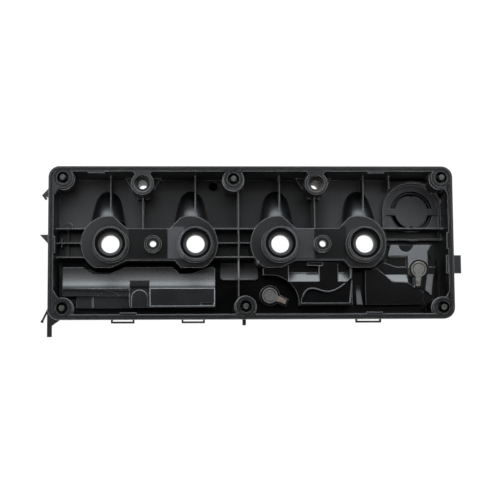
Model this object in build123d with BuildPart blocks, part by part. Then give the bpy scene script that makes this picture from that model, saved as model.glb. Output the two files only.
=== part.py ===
from build123d import *
import os

# Engine valve cover lying on its outer side, with the open side that meets the cylinder head facing +Z.
# X runs along the engine, Y across it, and the outermost outside faces lie on Z = 0.

# Driving sizes of the cover
cover_length = 417.6
cover_width = 158.4
cover_corner_radius = 11.5
flange_thickness = 6.0
flange_rim_width = 5.4
cover_depth = 46.0
housing_depth = 14.0
roof_thickness = 3.0
wall_draft = 3.5
wall_step = 2.4
roof_edge_radius = 5.0
cut_overrun = 1.0
seat_gap = 0.1

# Cylinders: injector tubes stand in two dog-bone wells
cylinder_pitch = 88.0
cylinder_offset = -13.9
injector_bore_radius = 9.4
injector_seat_radius = 15.9
injector_tube_radius = 19.0
injector_tube_chamfer = 1.4
tube_depth = 6.0
seal_seat_height = 7.0
seal_lip_radius = 12.7
seal_height = 5.0

well_depth = 18.0
well_radius = 28.9
well_wall = 3.0
well_draft = 4.0
well_left_shift = 1.8
well_right_shift = 5.9
well_web_half_width = 16.7
well_flat = 24.2
well_flat_radius = 9.0
well_left_cuts = [(-42.0, 24.2), (204.6, 23.7)]
well_right_cuts = [(46.0, 25.8), (-229.0, 23.4)]
well_centre_shift = 1.0

# Noses that slope from each well down to the roof
nose_radius = 18.4
nose_start = 27.0
nose_start_angle = 15.0
nose_reach = 59.0
nose_end_angle = 58.0
nose_end_radius = 12.6
nose_offset = 1.5
nose_skirt = 18.0
nose_wall = 2.6

# Clamp bolt tubes between the injectors of a pair
clamp_boss_radius = 8.8
clamp_ring_radius = 6.7
clamp_bore_radius = 3.4
clamp_boss_depth = 11.0
clamp_seal_height = 2.6

# Holding bolts
bolt_left_inset = 14.8
bolt_right_inset = 11.8
bolt_side_inset = 11.9
bolt_top_middle_x = -18.7
bolt_bottom_middle_x = -6.6
bolt_middle_inset = 13.4
boss_top_radius = 10.6
boss_foot_radius = 11.6
boss_step_depth = 9.0
boss_bore_radius = 6.2
bolt_well_radius = 9.2
bolt_well_depth = 28.0
bolt_shank_radius = 3.0
bolt_waist_radius = 2.5
bolt_thread_clear = 1.5
bolt_tip_length = 5.0
bolt_tip_chamfer = 0.7
bolt_flange_radius = 7.6
bolt_flange_height = 1.8
bolt_head_radius = 5.6
bolt_head_height = 6.0
bolt_head_sides = 6
sleeve_wall = 1.2
sleeve_play = 0.3
sleeve_recess = 9.0
grommet_lip_height = 2.0
corner_land_reach = 22.0

# Open bosses with guide sleeves on the injector side
guide_left_x = -112.5
guide_right_x = 66.8
guide_inset = 18.0
guide_boss_radius = 11.8
guide_recess_radius = 8.7
guide_recess_depth = 8.0
guide_bore_radius = 4.8
guide_sleeve_radius = 6.8
guide_neck_width = 13.0
guide_neck_flare = 3.0
guide_web_half_width = 20.0
guide_web_height = 9.0

# Gasket in its groove
gasket_line_inset = 3.0
gasket_width = 2.0
gasket_depth = 3.0
gasket_proud = 0.8
gasket_ring_radius = 8.6
groove_play = 0.1

# Ribs inside the cover
rib_thickness = 1.2
rib_depth = 22.0
side_rib_y = 17.0
side_rib_low_y = -12.9
gate_rib_y = 2.7
gate_rib_depth = 30.0
gate_cross_xs = [-197.1, -12.2]
gate_cross_length = 9.0
centre_rib_x = -13.0
lug_top_xs = [-160.0, 129.2]
lug_low_xs = [-126.8, 125.6]
lug_side_y = 1.8
lug_length = 16.8
lug_reach = 1.8
lug_height = 5.0

# Oil separator plates on the chamber walls
plate_wall = 2.2
plate_gap = 0.5
separator_depth = 25.0
separator_left_inset = 12.8
separator_right_x = -37.6
separator_top_y = -22.6
separator_split_x = -105.5
separator_step_x = -126.6
separator_low_inset = 14.2
trough_start_share = 0.05
trough_end_share = 0.52
separator_edge_share = 0.571
separator_band_share = 0.712
trough_rise = 4.6
separator_band_drop = 3.4
separator_middle_drop = 3.0
separator_skirt = 13.0
separator_corner = 3.0
separator_corner_angle = 45
scoop_depth = 7.0
scoop_outlines = [(-28.2, -17.6, 0.0, 18.6), (-19.1, -10.9, 1.7, 23.8)]
small_box_left_inset = 27.2
small_box_lap = 2.2
small_box_drop = 4.6
small_box_slope = 3.6
small_box_rib_x = -165.0
small_box_rib_height = 0.9
ledge_arch_x = -148.1
ledge_arch_radius = 14.4
ledge_arch_rise = 5.1
ledge_arch_sink = 1.5
middle_arch_radius = 8.4
middle_arch_share = 0.762
middle_arch_rise = 1.0
plate_slot_length = 13.0
plate_slot_width = 3.4
plate_slot_inset = 1.6
plate_slot_sink = 1.5
chamber_wall = 2.4
chamber_top_y = -30.5

# Right separator plate, bounded on its left by an arc round the first drain valve
right_plate_left_x = 12.4
right_plate_top_y = -18.4
right_plate_right_x = 105.4
right_plate_low_inset = 16.2
right_plate_notch_y = -31.6
right_plate_arc_x = 19.8
right_plate_arc_radius = 30.0
right_plate_depth = 24.0
right_plate_step = 5.0
pocket_one = (39.1, 71.1)
pocket_two = (90.9, 104.1)
pocket_low_y = -38.4
pocket_slope_y = -28.5
pocket_sink = 4.6
plate_tab_left_x = 59.0
plate_tab_right_x = 74.6
plate_tab_width = 3.6
plate_tab_rise = 3.5
wave_shares = [
    (0.43, 0.89),
    (0.45, 0.75),
    (0.51, 0.61),
    (0.59, 0.6),
    (0.7, 0.69),
    (0.81, 0.65),
    (0.91, 0.51),
    (1.0, 0.35),
]

# Breather chamber plate in the corner below the filler
breather_left_x = 120.4
breather_right_inset = 12.8
breather_low_inset = 17.2
breather_top_y = 1.2
breather_depth = 37.0
breather_outline_shares = [
    (0.0, 0.58),
    (0.13, 0.6),
    (0.28, 0.72),
    (0.38, 0.86),
    (0.34, 1.0),
    (0.95, 1.0),
    (1.0, 0.58),
    (0.9, 0.14),
    (0.82, 0.0),
    (0.0, 0.0),
]
breather_cover_rise = 4.0
breather_cover_shares = [
    (0.0, 0.57), (0.17, 0.6), (0.28, 0.49), (0.38, 0.38),
    (0.59, 0.37), (0.82, 0.2), (0.8, 0.0), (0.0, 0.0),
]
crescent_shares = [
    (0.17, 0.61), (0.28, 0.545), (0.4, 0.505), (0.6, 0.5),
    (0.6, 0.36), (0.38, 0.37), (0.27, 0.48),
]
strip_shares = [(0.87, 0.51), (0.97, 0.525), (0.92, 0.15), (0.84, 0.24)]
strip_rise = 5.0
tee_shares = [
    (0.37, 1.0),
    (0.94, 1.0),
    (0.88, 0.88),
    (0.875, 0.6),
    (0.6, 0.6),
    (0.6, 0.81),
    (0.32, 0.81),
]
tee_rise = 7.0
tee_fall = 5.5
tee_notch_share = 0.58
tee_notch_radius = 7.9
quad_shares = [(0.33, 0.8), (0.28, 0.7), (0.45, 0.63), (0.58, 0.63), (0.58, 0.8)]
triangle_shares = [(0.9, 0.86), (0.985, 0.63), (0.9, 0.63)]
plate_recess_depth = 2.4

# Sloping wedge on the roof between the two right plates
wedge_outline = [(111.0, -41.7), (115.6, -41.7), (118.0, -62.0), (111.4, -62.0)]
wedge_rise = 6.0

# Oil filler
filler_inset = 37.0
filler_y = 37.0
filler_bore_radius = 22.4
filler_neck_radius = 26.5
filler_neck_length = 6.0
filler_frame_radius = 32.2
filler_frame_wall = 1.8
filler_frame_depth = 32.0
filler_terrace_radius = 28.0
filler_terrace_depth = 38.0
filler_foot_y = 5.6
filler_disc_radius = 17.4
filler_disc_thickness = 2.0
filler_arm_width = 7.0
filler_notch = 2.0
cap_radius = 29.0
cap_gap = 0.3
cap_top_thickness = 5.0
cap_plug_gap = 0.6
cap_plug_wall = 1.8
cap_plug_height = 8.0
cap_grip_radius = 4.0
cap_grip_count = 8
cap_seal_width = 3.0

# Outside housing over the separator chambers, with the breather spigot at its end
housing_left_inset = 32.8
housing_gap_left_x = -34.0
housing_gap_right_x = 8.0
chamber_right_start_x = 52.5
housing_right_x = 104.0
housing_top_y = -26.0
housing_low_inset = 17.2
housing_corner_radius = 6.0
housing_draft = 4.0
housing_wall = 3.0
spigot_radius = 5.0
spigot_bore_radius = 3.6
spigot_length = 24.0
spigot_collar_radius = 6.2
spigot_collar_length = 2.0

# Hooks, loops and tabs on the flange's outer edge
loop_places = [(-132.5, 24.0), (-60.5, 24.0), (119.5, 26.5)]
loop_reach = 3.5
loop_bar = 1.9
loop_height = 9.0
tab_y = -22.8
tab_width = 18.9
tab_reach = 7.7
tab_height = 3.0
pin_x = -8.4
pin_width = 3.7
pin_reach = 6.0
hook_height = 4.0
hook_y = 49.0
hook_reach = 6.0
hook_width = 2.6
hook_rise = 6.4
hook_turn = 4.0
fin_y = 8.4
fin_reach = 8.5
fin_length = 9.4
bracket_x = -206.7
bracket_reach = 17.3
bracket_width = 5.0
bracket_web_length = 9.4
bracket_web_reach = 5.9
bracket_finger_x = -214.2
bracket_finger_y = -80.6
bracket_finger_width = 2.0
bracket_ball_radius = 1.5

# Drain valves
valve_one_x = 19.8
valve_one_inset = 26.8
valve_two_inset = 32.0
valve_two_y = -25.2
valve_tail_angles = [-22.0, -94.0]
valve_collar_radius = 10.6
valve_collar_margin = 1.6
valve_disc_radius = 8.2
valve_disc_thickness = 0.8
valve_slot_radius = 6.3
valve_slot_width = 0.8
valve_slot_open = 70.0
valve_tail_length = 18.0
valve_tail_width = 7.6
valve_tail_end_width = 4.6
valve_rivet_radius = 1.5
valve_rivet_share = 0.7
valve_rivet_height = 1.0
valve_port_radius = 5.2
valve_port_depth = 8.0
valve_depth = 33.0

# Low ramp on the roof between the separators
ramp_x = -12.0
ramp_y = -27.6
ramp_length = 40.0
ramp_width = 16.0
ramp_corner_radius = 4.0
ramp_height = 4.5

# Small marks on the roof: a dimple, and a mound with its runner
dimple_x = -36.6
dimple_inset = 14.7
dimple_radius = 4.6
dimple_depth = 2.0
mound_inset = 17.8
mound_y = 20.9
mound_radius = 4.5
mound_height = 6.0
runner_low_y = -12.7
runner_width = 2.6

# Sizes that follow from those above
half_length = cover_length / 2
half_width = cover_width / 2
separator_left_x = separator_left_inset - half_length
separator_low_y = separator_low_inset - half_width
separator_width = separator_top_y - separator_low_y
separator_band_y = separator_top_y - separator_width * separator_band_share
separator_edge_y = separator_top_y - separator_width * separator_edge_share
small_box_left_x = small_box_left_inset - half_length
small_box_right_x = separator_step_x + small_box_lap
right_plate_low_y = right_plate_low_inset - half_width
breather_right_x = half_length - breather_right_inset
breather_low_y = breather_low_inset - half_width
filler_x = half_length - filler_inset
housing_left_x = housing_left_inset - half_length
housing_low_y = housing_low_inset - half_width
spigot_y = (housing_top_y + housing_low_y) / 2
valve_places = [(valve_one_x, valve_one_inset - half_width), (half_length - valve_two_inset, valve_two_y)]
dimple_place = (dimple_x, half_width - dimple_inset)
mound_x = mound_inset - half_length
cap_plug_radius = filler_bore_radius - cap_plug_gap
roof_outside = housing_depth
flange_level = roof_outside + cover_depth
roof_inside = roof_outside + roof_thickness
well_floor = flange_level - well_depth
tube_top = flange_level - tube_depth
rib_top = flange_level - rib_depth
separator_level = flange_level - separator_depth
separator_foot = separator_level - separator_skirt
right_plate_level = flange_level - right_plate_depth
breather_level = flange_level - breather_depth
valve_level = flange_level - valve_depth
clamp_top_level = flange_level - clamp_boss_depth
clamp_seat_level = clamp_top_level - clamp_seal_height
bolt_seat_level = roof_outside + bolt_well_depth
inner_length = cover_length - 2 * flange_rim_width
inner_width = cover_width - 2 * flange_rim_width
inner_half_length = inner_length / 2
inner_half_width = inner_width / 2
body_length = cover_length - 2 * wall_step
body_width = cover_width - 2 * wall_step
body_corner_radius = cover_corner_radius - wall_step

injector_xs = [cylinder_offset + cylinder_pitch * share for share in (-1.5, -0.5, 0.5, 1.5)]
injector_places = [(x, 0) for x in injector_xs]
clamp_places = [(cylinder_offset - cylinder_pitch, 0), (cylinder_offset + cylinder_pitch, 0)]
well_centres = [
    (injector_xs[0] - well_left_shift, well_centre_shift),
    (injector_xs[1] - well_right_shift, well_centre_shift),
    (injector_xs[2] - well_left_shift, well_centre_shift),
    (injector_xs[3] - well_right_shift, well_centre_shift),
]

bolt_left_x = bolt_left_inset - half_length
bolt_right_x = half_length - bolt_right_inset
bolt_y = half_width - bolt_side_inset
bolt_middle_y = half_width - bolt_middle_inset
bolt_places = [
    (bolt_left_x, bolt_y),
    (bolt_top_middle_x, bolt_middle_y),
    (bolt_right_x, bolt_y),
    (bolt_left_x, -bolt_y),
    (bolt_bottom_middle_x, -bolt_middle_y),
    (bolt_right_x, -bolt_y),
]
gasket_leg = (bolt_middle_inset - gasket_line_inset) * 2**0.5
hook_root_x = -half_length + cut_overrun
bracket_edge_x = bracket_x + bracket_width / 2
guide_y = half_width - guide_inset
guide_places = [(guide_left_x, guide_y), (guide_right_x, guide_y)]

# Middle of the whole box, which becomes the origin
origin = Location((fin_reach / 2 - tab_reach / 2, bracket_reach / 2, 0))


def finish(piece, name):
    piece.part.move(origin)
    piece.part.label = name
    export_step(piece.part, f"parts/{name}.step")


os.makedirs("parts", exist_ok=True)


# Outline of one dog-bone well, grown or shrunk by a margin
def well_outline(left, right, margin):
    middle = (left[0] + right[0]) / 2
    reach = well_radius + margin
    with BuildSketch() as outline:
        for centre, cuts in ((left, well_left_cuts), (right, well_right_cuts)):
            with Locations(centre):
                Circle(reach)
            for angle, distance in cuts:
                with Locations(Location((*centre, 0), angle) * Location((0, distance + margin, 0))):
                    Rectangle(2 * reach, reach, align=(Align.CENTER, Align.MIN), mode=Mode.SUBTRACT)
        with Locations((middle, 0)):
            Rectangle(right[0] - left[0], 2 * (well_web_half_width + margin))
        with Locations((middle, -well_flat - margin - reach)):
            Rectangle(2 * cylinder_pitch, 2 * reach, mode=Mode.SUBTRACT)
        ends = outline.vertices().group_by(Axis.Y)[0].sort_by(Axis.X)
        fillet([ends[0], ends[-1]], well_flat_radius)
    return outline.sketch


# Centre line of a nose, from the height of the well floor down to the roof
def nose_line(x, start_y):
    fall = Vector(0, 1, 0).rotate(Axis.X, -nose_start_angle)
    up = Vector(0, 0, nose_radius)
    start = Vector(x, start_y, well_floor) - up.rotate(Axis.X, -nose_start_angle)
    end = Vector(x, nose_reach, roof_inside) - up.rotate(Axis.X, -nose_end_angle)
    with BuildLine() as line:
        TangentArc(start, end, tangent=fall)
    return line.line


# Section of a nose, a half round on straight sides
def nose_section(line, place, radius, top):
    with BuildSketch(Plane(line @ place, x_dir=(1, 0, 0), z_dir=line % place)) as section:
        with Locations((0, radius - top)):
            Circle(radius)
        with Locations((0, radius - top + nose_skirt / 2)):
            Rectangle(2 * radius, nose_skirt)
    return section.sketch


# Gasket line: one run round the flange and a ring round every holding bolt
def gasket_outline(width):
    outer = gasket_line_inset - width / 2
    inner = gasket_line_inset + width / 2
    with BuildSketch() as outline:
        RectangleRounded(cover_length - 2 * outer, cover_width - 2 * outer, cover_corner_radius - outer)
        RectangleRounded(
            cover_length - 2 * inner, cover_width - 2 * inner, cover_corner_radius - inner, mode=Mode.SUBTRACT
        )
        with Locations(bolt_places):
            Circle(gasket_ring_radius + width / 2)
        for place, sides in ((bolt_places[1], (45, -45)), (bolt_places[4], (135, -135))):
            with Locations(place):
                for side in sides:
                    Rectangle(width, gasket_leg, rotation=side, align=(Align.CENTER, Align.MIN))
        with Locations(bolt_places):
            Circle(gasket_ring_radius - width / 2, mode=Mode.SUBTRACT)
    return outline.sketch


# Land that fills the corner behind a corner bolt and slopes back to the side wall
def corner_land(place):
    x, y = place
    out_x = 1 if x > 0 else -1
    out_y = 1 if y > 0 else -1
    side_x = out_x * (half_length - flange_rim_width / 2)
    side_y = out_y * (half_width - flange_rim_width / 2)
    with BuildSketch() as land:
        with BuildLine():
            Polyline(
                (x, y - out_y * boss_top_radius / 2),
                (x, side_y),
                (side_x, side_y),
                (side_x, y - out_y * corner_land_reach),
                close=True,
            )
        make_face()
    return land.sketch


# Outline of the raised frame round the oil filler, a half round on straight sides
def filler_outline(radius, foot):
    with BuildSketch() as outline:
        with Locations((filler_x, filler_y)):
            Circle(radius)
        with Locations((filler_x, (filler_y + foot) / 2)):
            Rectangle(2 * radius, filler_y - foot)
    return outline.sketch


# Outline of a drain valve: a round with a tapering tail
def valve_outline(place, angle, radius, margin):
    with BuildSketch() as outline:
        with Locations(Location((*place, 0), angle)):
            Circle(radius)
        with BuildLine(Plane.XY * Location((*place, 0), angle)):
            Polyline(
                (0, valve_tail_width / 2 + margin),
                (valve_tail_length + margin, valve_tail_end_width / 2 + margin),
                (valve_tail_length + margin, -valve_tail_end_width / 2 - margin),
                (0, -valve_tail_width / 2 - margin),
                close=True,
            )
        make_face()
    return outline.sketch


# Outline whose corners are shares of a box
def share_outline(left, right, low, top, shares):
    with BuildSketch() as outline:
        with BuildLine():
            Polyline(*[(left + (right - left) * x, low + (top - low) * y) for x, y in shares], close=True)
        make_face()
    return outline.sketch


# Section of the left plate: a hollow curve that rises to a flat, sunk by a drop and shrunk by a margin
def trough_section(x, low, edge, drop, margin):
    level = separator_level - drop - margin
    base = separator_level - trough_rise - margin
    start = separator_top_y - separator_width * trough_start_share
    width = separator_width * (trough_end_share - trough_start_share)
    radius = (width**2 + trough_rise**2) / (2 * trough_rise)
    end = start - (radius**2 - (radius - trough_rise + drop) ** 2) ** 0.5
    foot = separator_foot - (cut_overrun if margin else 0)
    with BuildSketch(Plane.YZ.offset(x)) as section:
        with BuildLine():
            TangentArc((start, base), (end, level), tangent=(-1, 0))
            Polyline(
                (start, base), (separator_top_y - margin, base), (separator_top_y - margin, foot),
                (low + margin, foot),
            )
            if edge > low:
                band = level - separator_band_drop
                Polyline(
                    (low + margin, foot), (low + margin, band), (edge + margin, band),
                    (edge + margin, level), (end, level),
                )
            else:
                Polyline((low + margin, foot), (low + margin, level), (end, level))
        make_face()
    return section.sketch


# Block whose top slopes up from a start in Y to an end
def sloped_block(outline, base, start, start_level, end, end_level):
    rise = (0, end_level - start_level, start - end)
    with BuildPart() as block:
        with BuildSketch(Plane.XY.offset(base)):
            add(outline)
        extrude(amount=cover_depth)
        split(bisect_by=Plane(origin=(0, start, start_level), x_dir=(1, 0, 0), z_dir=rise), keep=Keep.BOTTOM)
    return block.part


valve_collars = [
    valve_outline(place, angle, valve_collar_radius, valve_collar_margin)
    for place, angle in zip(valve_places, valve_tail_angles)
]
nose_xs = [centre[0] + nose_offset * (2 * (n % 2) - 1) for n, centre in enumerate(well_centres)]
nose_lines = [nose_line(x, nose_start) for x in nose_xs]
nose_hollow_lines = [nose_line(x, nose_start + nose_wall) for x in nose_xs]
with BuildPart() as noses:
    for line in nose_lines:
        ends = [
            nose_section(line, 0, nose_radius, nose_radius),
            nose_section(line, 1, nose_end_radius, nose_radius),
        ]
        sweep(sections=ends, path=line, multisection=True)
    split(bisect_by=Plane.XY.offset(roof_outside), keep=Keep.TOP)
with BuildPart() as nose_hollows:
    for line in nose_hollow_lines:
        top = nose_radius - nose_wall
        ends = [nose_section(line, 0, top, top), nose_section(line, 1, nose_end_radius - nose_wall, top)]
        sweep(sections=ends, path=line, multisection=True)

well_outlines = [well_outline(*well_centres[n : n + 2], 0) for n in (0, 2)]
well_clear_outlines = [well_outline(*well_centres[n : n + 2], plate_gap) for n in (0, 2)]
well_hollow_outlines = [well_outline(*well_centres[n : n + 2], -well_wall) for n in (0, 2)]
corner_lands = [corner_land(bolt_places[n]) for n in (0, 2, 3, 5)]
groove_outline = gasket_outline(gasket_width + 2 * groove_play)
housing_spans = [(housing_left_x, housing_gap_left_x), (housing_gap_right_x, housing_right_x)]
chamber_spans = [
    (housing_left_x + housing_wall, housing_gap_left_x - housing_wall),
    (chamber_right_start_x, housing_right_x - housing_wall),
]
frame_spans = [
    (separator_left_x, separator_right_x, chamber_top_y, separator_low_y),
    (right_plate_arc_x + right_plate_arc_radius, right_plate_right_x, chamber_top_y, right_plate_low_y),
]
filler_frame = filler_outline(filler_frame_radius, filler_foot_y)
filler_frame_hole = filler_outline(
    filler_frame_radius - filler_frame_wall, filler_foot_y + filler_frame_wall
)
filler_terrace = filler_outline(filler_terrace_radius, filler_foot_y + filler_frame_wall)

# Sloping ramp and wedge on the roof
with BuildSketch() as ramp_outline:
    with Locations((ramp_x, ramp_y)):
        RectangleRounded(ramp_length, ramp_width, ramp_corner_radius)
ramp_top, ramp_low = ramp_y + ramp_width / 2, ramp_y - ramp_width / 2
ramp = sloped_block(
    ramp_outline.sketch, roof_inside, ramp_top, roof_inside, ramp_low, roof_inside + ramp_height
)
with BuildSketch() as wedge_base:
    with BuildLine():
        Polyline(*wedge_outline, close=True)
    make_face()
wedge = sloped_block(
    wedge_base.sketch,
    roof_inside,
    wedge_outline[0][1],
    roof_inside,
    wedge_outline[-1][1],
    roof_inside + wedge_rise,
)

# Bolt bosses and corner lands, trimmed to the drafted box
with BuildPart() as bosses:
    with BuildSketch(Plane.XY.offset(roof_outside)):
        with Locations(bolt_places):
            Circle(boss_foot_radius)
    extrude(amount=cover_depth - boss_step_depth)
    with BuildSketch(Plane.XY.offset(flange_level)):
        with Locations(bolt_places):
            Circle(boss_top_radius)
        for land in corner_lands:
            add(land)
    extrude(amount=-boss_step_depth)
    with BuildSketch(Plane.XY.offset(flange_level)):
        RectangleRounded(body_length, body_width, body_corner_radius)
    extrude(amount=roof_outside - flange_level, taper=wall_draft, mode=Mode.INTERSECT)

# Ribs as (centre x, centre y, length along x, length along y)
rib_places = []
for x, _ in injector_places:
    rib_places.append((x, (inner_half_width + nose_start) / 2, rib_thickness, inner_half_width - nose_start))
for x, y in guide_places:
    rib_places.append((x, (y + well_web_half_width) / 2, rib_thickness, y - well_web_half_width))
rib_places.append((centre_rib_x, 0, rib_thickness, 2 * bolt_middle_y))
filler_rib_foot = filler_y + filler_bore_radius
rib_places.append(
    (
        filler_x - filler_neck_radius,
        (inner_half_width + filler_rib_foot) / 2,
        rib_thickness,
        inner_half_width - filler_rib_foot,
    )
)
cross_spans = [
    (-inner_half_length, well_centres[0][0]),
    (well_centres[1][0], well_centres[2][0]),
    (well_centres[3][0], inner_half_length),
]
for start, end in cross_spans[:2]:
    rib_places.append(((start + end) / 2, side_rib_y, end - start, rib_thickness))
for start, end in cross_spans[:2]:
    rib_places.append(((start + end) / 2, side_rib_low_y, end - start, rib_thickness))
lug_places = [(x, inner_half_width) for x in lug_top_xs]
lug_places += [(x, -inner_half_width) for x in lug_low_xs]
gate_places = [((start + end) / 2, gate_rib_y, end - start, rib_thickness) for start, end in cross_spans[:2]]
gate_places += [(x, gate_rib_y, rib_thickness, gate_cross_length) for x in gate_cross_xs]
rib_groups = [(rib_places, rib_top), (gate_places, flange_level - gate_rib_depth)]

with BuildPart() as cover_shell:
    # Drafted box of the cover and its flange
    with BuildSketch(Plane.XY.offset(flange_level - flange_thickness)):
        RectangleRounded(body_length, body_width, body_corner_radius)
    extrude(amount=roof_outside - flange_level + flange_thickness, taper=wall_draft)
    fillet(cover_shell.faces().sort_by(Axis.Z)[0].edges(), roof_edge_radius)
    with BuildSketch(Plane.XY.offset(flange_level)):
        RectangleRounded(cover_length, cover_width, cover_corner_radius)
    extrude(amount=-flange_thickness)

    # Housing of the separator chambers and the filler neck, both outside
    with BuildSketch(Plane.XY.offset(roof_outside)):
        for start, end in housing_spans:
            with Locations(((start + end) / 2, (housing_top_y + housing_low_y) / 2)):
                RectangleRounded(end - start, housing_top_y - housing_low_y, housing_corner_radius)
    extrude(amount=-roof_outside, taper=housing_draft)
    with BuildSketch(Plane.XY.offset(roof_outside)):
        with Locations((filler_x, filler_y)):
            Circle(filler_neck_radius)
    extrude(amount=-filler_neck_length)
    with BuildSketch(Plane.YZ.offset(housing_right_x - housing_corner_radius)):
        with Locations((spigot_y, roof_outside / 2)):
            Circle(spigot_radius)
    extrude(amount=spigot_length + housing_corner_radius)
    with BuildSketch(Plane.YZ.offset(housing_right_x - housing_corner_radius)):
        with Locations((spigot_y, roof_outside / 2)):
            Circle(spigot_collar_radius)
    extrude(amount=spigot_collar_length + housing_corner_radius)

    # Cavity
    with BuildSketch(Plane.XY.offset(flange_level)):
        RectangleRounded(inner_length, inner_width, cover_corner_radius - flange_rim_width)
    extrude(amount=roof_inside - flange_level, taper=wall_draft, mode=Mode.SUBTRACT)

    # Separator chambers sunk in the housing
    with BuildSketch(Plane.XY.offset(roof_inside)):
        for start, end in chamber_spans:
            with Locations(((start + end) / 2, (housing_top_y + housing_low_y) / 2)):
                RectangleRounded(
                    end - start,
                    housing_top_y - housing_low_y - 2 * housing_wall,
                    housing_corner_radius - housing_wall,
                )
    extrude(amount=housing_wall - roof_inside, taper=housing_draft, mode=Mode.SUBTRACT)
    with BuildSketch(Plane.YZ.offset(housing_right_x + spigot_length)):
        with Locations((spigot_y, roof_outside / 2)):
            Circle(spigot_bore_radius)
    extrude(amount=-spigot_length - 2 * housing_wall, mode=Mode.SUBTRACT)

    # Ribs on the roof
    for places, top in rib_groups:
        for x, y, along_x, along_y in places:
            with BuildSketch(Plane.XY.offset(roof_inside)):
                with Locations((x, y)):
                    Rectangle(along_x, along_y)
            extrude(amount=top - roof_inside)

    # Lugs on the inner wall just below the flange
    with BuildSketch(Plane.XY.offset(flange_level)):
        with Locations(lug_places):
            Rectangle(lug_length, 2 * lug_reach)
        with Locations((inner_half_length, lug_side_y), (-inner_half_length, -lug_side_y)):
            Rectangle(2 * lug_reach, lug_length)
    extrude(amount=-lug_height)

    # Chamber walls that carry the separator plates
    with BuildSketch(Plane.XY.offset(roof_inside)):
        for start, end, top, low in frame_spans:
            with Locations(((start + end) / 2, (top + low) / 2)):
                Rectangle(end - start, top - low)
                Rectangle(end - start - 2 * chamber_wall, top - low - 2 * chamber_wall, mode=Mode.SUBTRACT)
    extrude(amount=separator_foot - roof_inside)

    # Collar of the first drain valve
    with BuildSketch(Plane.XY.offset(roof_inside)):
        add(valve_collars[0])
    extrude(amount=valve_level - roof_inside)
    with BuildSketch(Plane.XY.offset(valve_level)):
        with Locations(valve_places[0]):
            Circle(valve_port_radius)
    extrude(amount=-valve_port_depth, mode=Mode.SUBTRACT)

    # Filler frame with its terrace
    with BuildSketch(Plane.XY.offset(roof_inside)):
        add(filler_frame)
    extrude(amount=flange_level - filler_frame_depth - roof_inside)
    with BuildSketch(Plane.XY.offset(rib_top + cut_overrun)):
        add(filler_frame_hole)
    extrude(amount=flange_level - filler_terrace_depth - rib_top - cut_overrun, mode=Mode.SUBTRACT)
    with BuildSketch(Plane.XY.offset(rib_top + cut_overrun)):
        add(filler_terrace)
    extrude(amount=roof_inside - rib_top - cut_overrun, mode=Mode.SUBTRACT)

    # Rib across the foot of the filler frame
    with BuildSketch(Plane.XY.offset(roof_inside)):
        with Locations(((cross_spans[2][0] + cross_spans[2][1]) / 2, side_rib_y)):
            Rectangle(cross_spans[2][1] - cross_spans[2][0], rib_thickness)
    extrude(amount=rib_top - roof_inside)

    # Bolt bosses, ramp, wedge, mound and runner
    add(bosses.part)
    add(ramp)
    add(wedge)
    with BuildSketch(Plane.XY.offset(roof_inside)):
        with Locations((mound_x, mound_y)):
            Circle(mound_radius)
        with Locations((mound_x, (mound_y + runner_low_y) / 2)):
            Rectangle(runner_width, mound_y - runner_low_y)
    extrude(amount=mound_height)
    with BuildSketch(Plane.XY.offset(roof_inside)):
        with Locations(dimple_place):
            Circle(dimple_radius)
    extrude(amount=-dimple_depth, mode=Mode.SUBTRACT)

    # Guide bosses, their necks and their webs
    with BuildSketch(Plane.XY.offset(flange_level)):
        with Locations(guide_places):
            Circle(guide_boss_radius)
        with Locations([(x, (y + inner_half_width) / 2) for x, y in guide_places]):
            Rectangle(guide_neck_width, inner_half_width - guide_y)
        for x, y in guide_places:
            with BuildLine():
                Polyline(
                    (x - guide_neck_width / 2, half_width - 2 * flange_rim_width),
                    (x - guide_neck_width / 2 - guide_neck_flare, half_width - flange_rim_width),
                    (x + guide_neck_width / 2 + guide_neck_flare, half_width - flange_rim_width),
                    (x + guide_neck_width / 2, half_width - 2 * flange_rim_width),
                    close=True,
                )
            make_face()
    extrude(amount=-cover_depth)
    with BuildSketch(Plane.XY.offset(roof_inside)):
        for x, y in guide_places:
            with BuildLine():
                Polyline(
                    (x - guide_web_half_width, inner_half_width),
                    (x - guide_boss_radius / 2, y - guide_boss_radius),
                    (x + guide_boss_radius / 2, y - guide_boss_radius),
                    (x + guide_web_half_width, inner_half_width),
                    close=True,
                )
            make_face()
    extrude(amount=guide_web_height)

    # Noses and wells, solid first
    add(noses.part)
    with BuildSketch(Plane.XY.offset(well_floor)):
        for outline in well_outlines:
            add(outline)
    extrude(amount=roof_inside - well_floor, taper=-well_draft)

    # Injector and clamp bolt tubes
    with BuildSketch(Plane.XY.offset(tube_top)):
        with Locations(injector_places):
            Circle(injector_tube_radius)
    extrude(amount=well_floor - tube_top - well_wall)
    tube_rims = [
        edge
        for edge in cover_shell.edges().filter_by(GeomType.CIRCLE)
        if abs(edge.radius - injector_tube_radius) < seat_gap and abs(edge.arc_center.Z - tube_top) < seat_gap
    ]
    chamfer(tube_rims, injector_tube_chamfer)
    with BuildSketch(Plane.XY.offset(clamp_top_level)):
        with Locations(clamp_places):
            Circle(clamp_boss_radius)
    extrude(amount=well_floor - well_wall - clamp_top_level)

    # Hollows behind the wells and noses
    add(nose_hollows.part, mode=Mode.SUBTRACT)
    with BuildSketch(Plane.XY.offset(well_floor - well_wall)):
        for outline in well_hollow_outlines:
            add(outline)
    extrude(amount=-well_floor + well_wall, taper=-well_draft, mode=Mode.SUBTRACT)

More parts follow.
